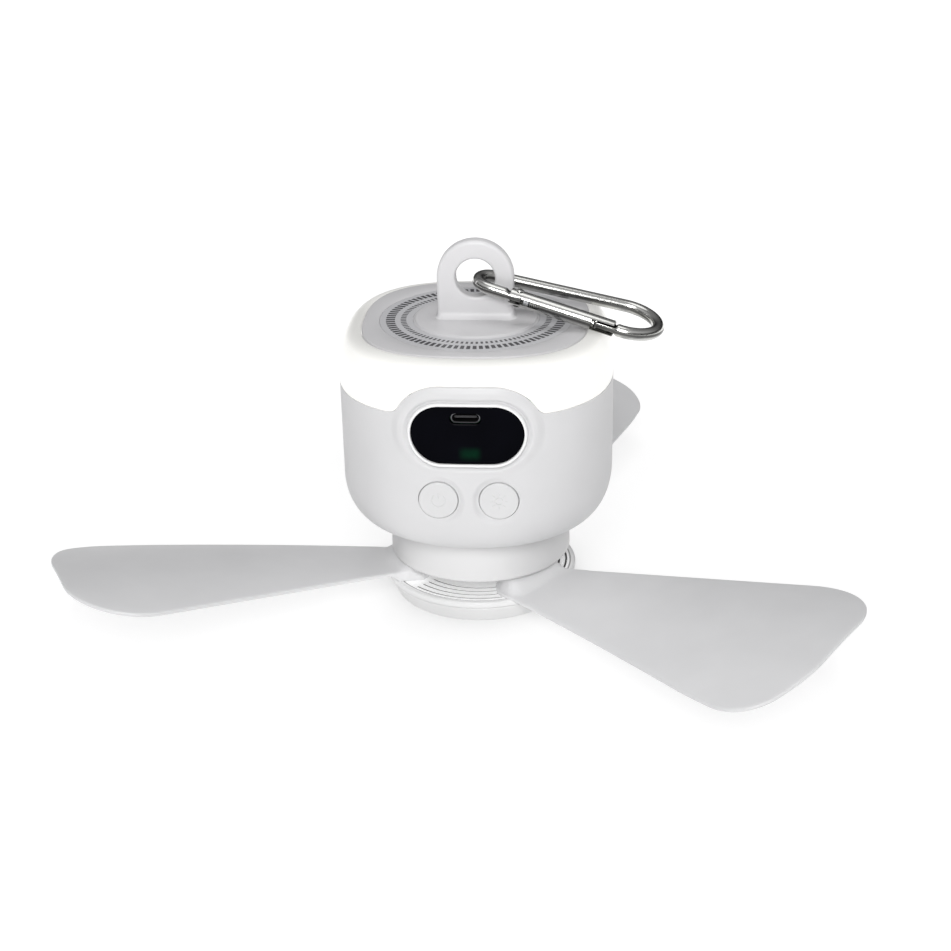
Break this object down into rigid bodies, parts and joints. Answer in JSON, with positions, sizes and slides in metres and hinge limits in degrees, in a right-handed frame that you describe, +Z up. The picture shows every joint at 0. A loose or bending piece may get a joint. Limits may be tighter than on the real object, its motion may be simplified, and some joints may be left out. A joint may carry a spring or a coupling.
{
  "type": "portable camping fan",
  "caption": "Battery camping fan and lantern: rounded body with light ring, panel and carabiner loop over a bladed rotor that it stands on.",
  "frame": {"origin": "centre of the base's flat underside, on the rotor axis", "axes": "+Z up along the rotor axis, the control panel faces -Y, the carabiner lies towards +X"},
  "size_m": [0.2585, 0.2485, 0.1209],
  "materials": {
    "white_shell": "satin moulded plastic",
    "white_diffuser": "frosted light-passing plastic",
    "grey_cap": "satin moulded plastic",
    "grey_label": "printed film, matt",
    "screw_steel": "plated",
    "white_tray": "matt reflector white",
    "white_board": "white solder mask",
    "led_yellow": "phosphor",
    "black_window": "polished",
    "green_display": "display face",
    "green_board": "solder mask",
    "socket_steel": "plated",
    "black_plastic": "moulded",
    "white_button": "satin moulded plastic",
    "cell_wrap": "shrink wrap",
    "dark_holder": "moulded",
    "mount_aluminium": "machined",
    "bearing_steel": "ground",
    "stator_steel": "stacked plates",
    "copper_wire": "enamelled wire",
    "bell_steel": "plated",
    "dark_magnet": "sintered",
    "white_rotor": "satin moulded plastic",
    "white_blade": "satin moulded plastic",
    "clip_chrome": "polished"
  },
  "bodies": {
    "body": {"housing": "white_shell", "light_diffuser": "white_diffuser", "top_cap": "grey_cap", "label_ring": "grey_label", "cap_screws": "screw_steel", "light_tray": "white_tray", "tray_screws": "screw_steel", "led_board": "white_board", "led_chips": "led_yellow", "display_window": "black_window", "digit_display": "green_display", "control_board": "green_board", "board_screws": "screw_steel", "usb_socket": "socket_steel", "usb_tongue": "black_plastic", "tact_switches": "black_plastic", "battery_cell_1": "cell_wrap", "battery_cell_2": "cell_wrap", "battery_cell_3": "cell_wrap", "battery_holder": "dark_holder", "battery_tabs": "screw_steel", "motor_cover": "white_shell", "cover_screws": "screw_steel", "motor_mount": "mount_aluminium", "motor_screws": "screw_steel", "bearing_upper": "bearing_steel", "bearing_lower": "bearing_steel", "stator_core": "stator_steel", "stator_coils": "copper_wire"},
    "rotor": {"rotor_hub": "white_rotor", "motor_bell": "bell_steel", "magnet_ring": "dark_magnet", "motor_shaft": "bearing_steel", "shaft_circlip": "screw_steel", "hub_nut": "screw_steel", "base_cap": "white_rotor", "blade_screws": "screw_steel", "blade_1": "white_blade", "blade_2": "white_blade", "blade_3": "white_blade"},
    "power_key": {"power_button": "white_button", "power_plunger": "black_plastic"},
    "light_key": {"light_button": "white_button", "light_plunger": "black_plastic"},
    "clip": {"carabiner_wire": "clip_chrome"},
    "gate": {"carabiner_gate": "clip_chrome", "gate_pin": "screw_steel", "gate_spring": "screw_steel", "gate_plunger": "screw_steel"}
  },
  "joints": [
    {"name": "rotor_spin", "type": "hinge", "parent": "body", "child": "rotor", "pos_m": [0, 0, 0.02], "axis": [0, 0, 1], "continuous": true},
    {"name": "power_button_press", "type": "slide", "parent": "body", "child": "power_key", "axis": [0, 1, 0], "range_m": [0, 0.0008], "stiffness_N_per_m": 900, "springref_m": -0.0008},
    {"name": "light_button_press", "type": "slide", "parent": "body", "child": "light_key", "axis": [0, 1, 0], "range_m": [0, 0.0008], "stiffness_N_per_m": 900, "springref_m": -0.0008},
    {"name": "carabiner_swing", "type": "hinge", "parent": "body", "child": "clip", "pos_m": [0, 0, 0.108], "axis": [0.0847, 0.9947, 0.0592], "range_deg": [-150, 0]},
    {"name": "carabiner_gate_open", "type": "hinge", "parent": "clip", "child": "gate", "pos_m": [0.01396, -0.00741, 0.10391], "axis": [0.2417, -0.0781, 0.9672], "range_deg": [0, 20], "stiffness_Nm_per_rad": 0.02, "springref_deg": -34.38}
  ]
}
